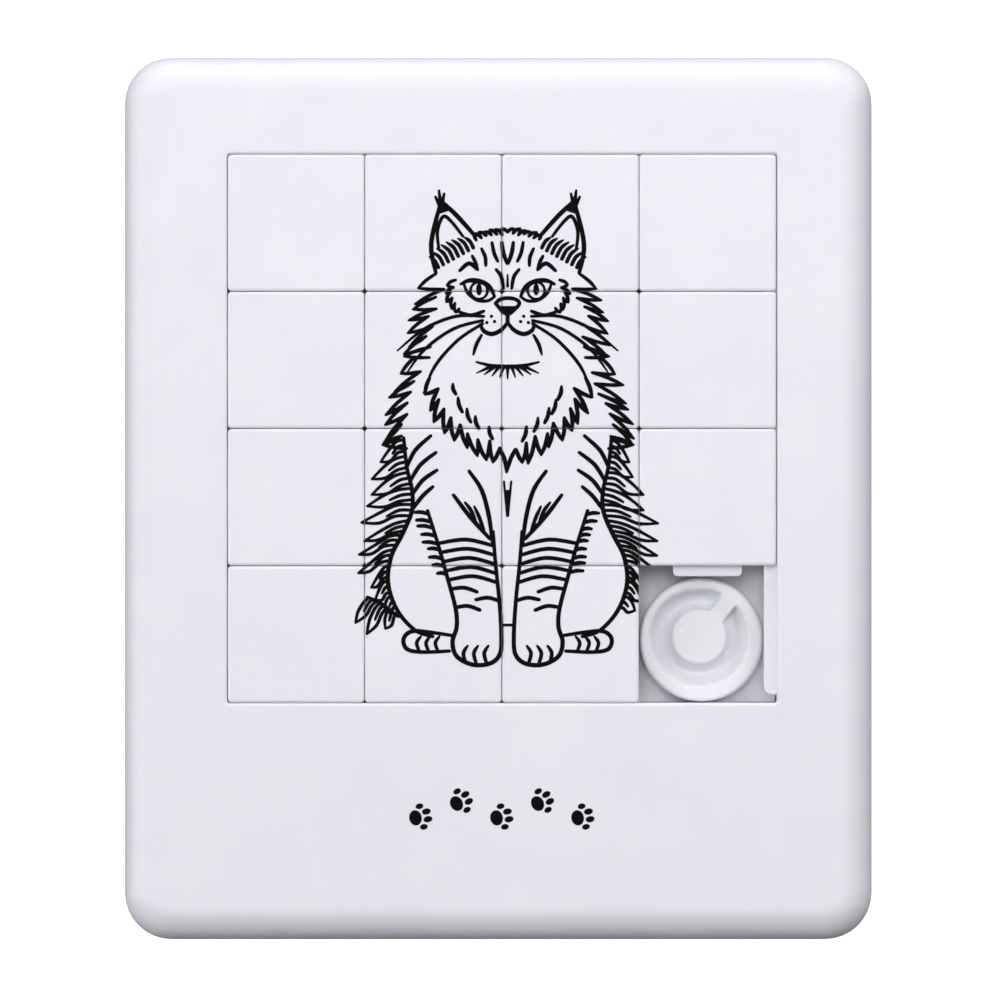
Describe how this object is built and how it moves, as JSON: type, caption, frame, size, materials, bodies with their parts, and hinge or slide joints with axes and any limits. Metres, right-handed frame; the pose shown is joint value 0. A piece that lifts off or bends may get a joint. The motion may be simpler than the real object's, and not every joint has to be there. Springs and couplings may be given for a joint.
{
  "type": "sliding tile puzzle",
  "caption": "Flat sliding-tile picture puzzle: interlocking square tiles in a white rounded plastic frame with one empty cell and a loose round plug in it.",
  "frame": {"origin": "centre of the back face, on the surface that the puzzle lies on", "axes": "+Z out of the face with the tiles, +Y towards the top edge of the picture, +X to the right of the picture"},
  "size_m": [0.072, 0.085, 0.008],
  "materials": {
    "frame_plastic": "off-white moulded polystyrene, satin, very finely textured",
    "cover_plastic": "off-white moulded polystyrene, slightly duller than the frame",
    "tile_plastic": "off-white moulded polystyrene, satin, printed with black line art",
    "insert_plastic": "white moulded polystyrene, smooth and slightly glossy",
    "print_ink": "thin black printing ink"
  },
  "bodies": {
    "frame": {"front_frame": "frame_plastic", "back_cover": "cover_plastic"},
    "round_insert": {"round_insert": "insert_plastic"},
    "tile_01": {"tile_01": "tile_plastic"},
    "tile_02": {"tile_02": "tile_plastic"},
    "tile_03": {"tile_03": "tile_plastic"},
    "tile_04": {"tile_04": "tile_plastic"},
    "tile_05": {"tile_05": "tile_plastic"},
    "tile_06": {"tile_06": "tile_plastic"},
    "tile_07": {"tile_07": "tile_plastic"},
    "tile_08": {"tile_08": "tile_plastic"},
    "tile_09": {"tile_09": "tile_plastic"},
    "tile_10": {"tile_10": "tile_plastic"},
    "tile_11": {"tile_11": "tile_plastic"},
    "tile_12": {"tile_12": "tile_plastic"},
    "tile_13": {"tile_13": "tile_plastic"},
    "tile_14": {"tile_14": "tile_plastic"},
    "tile_15": {"tile_15": "tile_plastic"}
  },
  "joints": [
    {"name": "insert_lift", "type": "slide", "parent": "frame", "child": "round_insert", "axis": [0, 0, 1], "range_m": [0, 0.02]},
    {"name": "bottom_row_slide", "type": "slide", "parent": "frame", "child": "tile_15", "axis": [1, 0, 0], "range_m": [0, 0.0132]},
    {"name": "tile_14_slide", "type": "slide", "parent": "frame", "child": "tile_14", "axis": [1, 0, 0], "range_m": [0, 0.0132]},
    {"name": "tile_13_slide", "type": "slide", "parent": "frame", "child": "tile_13", "axis": [1, 0, 0], "range_m": [0, 0.0132]},
    {"name": "right_column_slide", "type": "slide", "parent": "frame", "child": "tile_12", "axis": [0, 1, 0], "range_m": [-0.0132, 0]},
    {"name": "tile_08_slide", "type": "slide", "parent": "frame", "child": "tile_08", "axis": [0, 1, 0], "range_m": [-0.0132, 0]},
    {"name": "tile_04_slide", "type": "slide", "parent": "frame", "child": "tile_04", "axis": [0, 1, 0], "range_m": [-0.0132, 0]},
    {"name": "tile_01_play", "type": "slide", "parent": "frame", "child": "tile_01", "axis": [1, 0, 0], "range_m": [-0.00005, 0.00005]},
    {"name": "tile_02_play", "type": "slide", "parent": "frame", "child": "tile_02", "axis": [1, 0, 0], "range_m": [-0.00005, 0.00005]},
    {"name": "tile_03_play", "type": "slide", "parent": "frame", "child": "tile_03", "axis": [1, 0, 0], "range_m": [-0.00005, 0.00005]},
    {"name": "tile_05_play", "type": "slide", "parent": "frame", "child": "tile_05", "axis": [1, 0, 0], "range_m": [-0.00005, 0.00005]},
    {"name": "tile_06_play", "type": "slide", "parent": "frame", "child": "tile_06", "axis": [1, 0, 0], "range_m": [-0.00005, 0.00005]},
    {"name": "tile_07_play", "type": "slide", "parent": "frame", "child": "tile_07", "axis": [1, 0, 0], "range_m": [-0.00005, 0.00005]},
    {"name": "tile_09_play", "type": "slide", "parent": "frame", "child": "tile_09", "axis": [1, 0, 0], "range_m": [-0.00005, 0.00005]},
    {"name": "tile_10_play", "type": "slide", "parent": "frame", "child": "tile_10", "axis": [1, 0, 0], "range_m": [-0.00005, 0.00005]},
    {"name": "tile_11_play", "type": "slide", "parent": "frame", "child": "tile_11", "axis": [1, 0, 0], "range_m": [-0.00005, 0.00005]}
  ],
  "couplings": [
    {"joint": "tile_14_slide", "follows": "bottom_row_slide", "ratio": 1},
    {"joint": "tile_13_slide", "follows": "bottom_row_slide", "ratio": 1},
    {"joint": "tile_08_slide", "follows": "right_column_slide", "ratio": 1},
    {"joint": "tile_04_slide", "follows": "right_column_slide", "ratio": 1}
  ]
}
